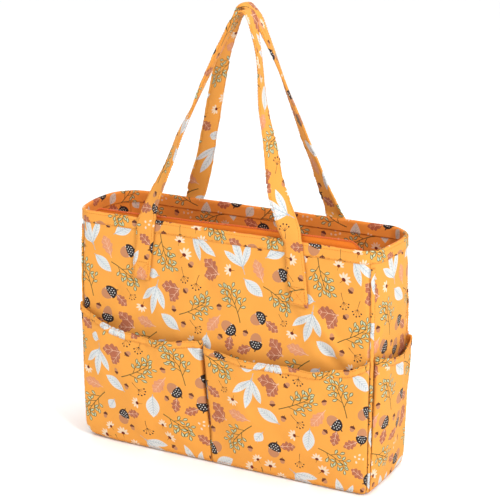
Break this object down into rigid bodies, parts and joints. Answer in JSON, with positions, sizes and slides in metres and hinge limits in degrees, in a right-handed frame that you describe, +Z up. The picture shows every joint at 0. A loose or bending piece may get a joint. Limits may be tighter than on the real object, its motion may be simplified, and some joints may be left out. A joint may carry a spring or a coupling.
{
  "type": "knitting bag",
  "caption": "Tall printed cloth tote for knitting, with lined walls, scooped outside pockets on every side, shoulder straps and a recessed zip.",
  "frame": {"origin": "middle of the base, on the surface that the bag stands on", "axes": "+Z up, the front with its two pockets faces -Y, +X to the right seen from the front"},
  "size_m": [0.4266, 0.1482, 0.5561],
  "materials": {
    "printed_cloth": "matte plain-weave cloth, orange with a tossed print of leaves, acorns, sprigs and small flowers",
    "lining_cloth": "matte printed cloth, a shade darker",
    "zipper_tape": "plain orange cloth and woven tape",
    "zipper_coil": "satin nylon coil",
    "slider_metal": "polished pale gold metal",
    "thread": "sewing thread",
    "base_board": "matte stiffening board"
  },
  "bodies": {
    "bag": {"front_panel": "printed_cloth", "front_lining": "lining_cloth", "front_hem_band": "printed_cloth", "rear_panel": "printed_cloth", "rear_lining": "lining_cloth", "rear_hem_band": "printed_cloth", "left_end_panel": "printed_cloth", "left_end_lining": "lining_cloth", "left_end_hem_band": "printed_cloth", "right_end_panel": "printed_cloth", "right_end_lining": "lining_cloth", "right_end_hem_band": "printed_cloth", "front_left_corner_welt": "printed_cloth", "front_right_corner_welt": "printed_cloth", "rear_left_corner_welt": "printed_cloth", "rear_right_corner_welt": "printed_cloth", "base_panel": "printed_cloth", "base_lining": "lining_cloth", "base_board": "base_board", "front_left_pocket": "printed_cloth", "front_left_pocket_band": "printed_cloth", "front_right_pocket": "printed_cloth", "front_right_pocket_band": "printed_cloth", "rear_left_pocket": "printed_cloth", "rear_left_pocket_band": "printed_cloth", "rear_right_pocket": "printed_cloth", "rear_right_pocket_band": "printed_cloth", "left_end_pocket": "printed_cloth", "left_end_pocket_band": "printed_cloth", "right_end_pocket": "printed_cloth", "right_end_pocket_band": "printed_cloth", "front_strap_left_end": "printed_cloth", "front_strap_left_stitches": "thread", "front_strap_right_end": "printed_cloth", "front_strap_right_stitches": "thread", "front_zipper_seam": "zipper_tape", "rear_strap_left_end": "printed_cloth", "rear_strap_left_stitches": "thread", "rear_strap_right_end": "printed_cloth", "rear_strap_right_stitches": "thread", "rear_zipper_seam": "zipper_tape"},
    "front_strap": {"front_strap": "printed_cloth"},
    "rear_strap": {"rear_strap": "printed_cloth"},
    "front_closure": {"front_zipper_flap": "zipper_tape", "front_zipper_tape": "zipper_tape", "front_zipper_coil": "zipper_coil"},
    "rear_closure": {"rear_zipper_flap": "zipper_tape", "rear_zipper_tape": "zipper_tape", "rear_zipper_coil": "zipper_coil"},
    "slider": {"zipper_slider": "slider_metal"},
    "pull": {"zipper_pull": "slider_metal"},
    "tail": {"zipper_tail": "zipper_tape", "zipper_tail_clip": "slider_metal"}
  },
  "joints": [
    {"name": "front_strap_swing", "type": "hinge", "parent": "bag", "child": "front_strap", "pos_m": [0, -0.0593, 0.3], "axis": [1, 0, 0], "range_deg": [0, 168]},
    {"name": "rear_strap_swing", "type": "hinge", "parent": "bag", "child": "rear_strap", "pos_m": [0, 0.0593, 0.3], "axis": [-1, 0, 0], "range_deg": [0, 168]},
    {"name": "front_closure_fold", "type": "hinge", "parent": "bag", "child": "front_closure", "pos_m": [0, -0.05, 0.258], "axis": [-1, 0, 0], "range_deg": [0, 172]},
    {"name": "rear_closure_fold", "type": "hinge", "parent": "bag", "child": "rear_closure", "pos_m": [0, 0.05, 0.258], "axis": [-1, 0, 0], "range_deg": [0, 172]},
    {"name": "slider_travel", "type": "slide", "parent": "rear_closure", "child": "slider", "axis": [-1, 0, 0], "range_m": [0, 0.316]},
    {"name": "pull_flip", "type": "hinge", "parent": "slider", "child": "pull", "pos_m": [0.158, 0.04462, 0.20873], "axis": [0, 0.0279, 0.9996], "range_deg": [0, 178]},
    {"name": "tail_fold", "type": "hinge", "parent": "bag", "child": "tail", "pos_m": [0.1975, 0, 0.258], "axis": [0, 1, 0], "range_deg": [0, 165]}
  ]
}
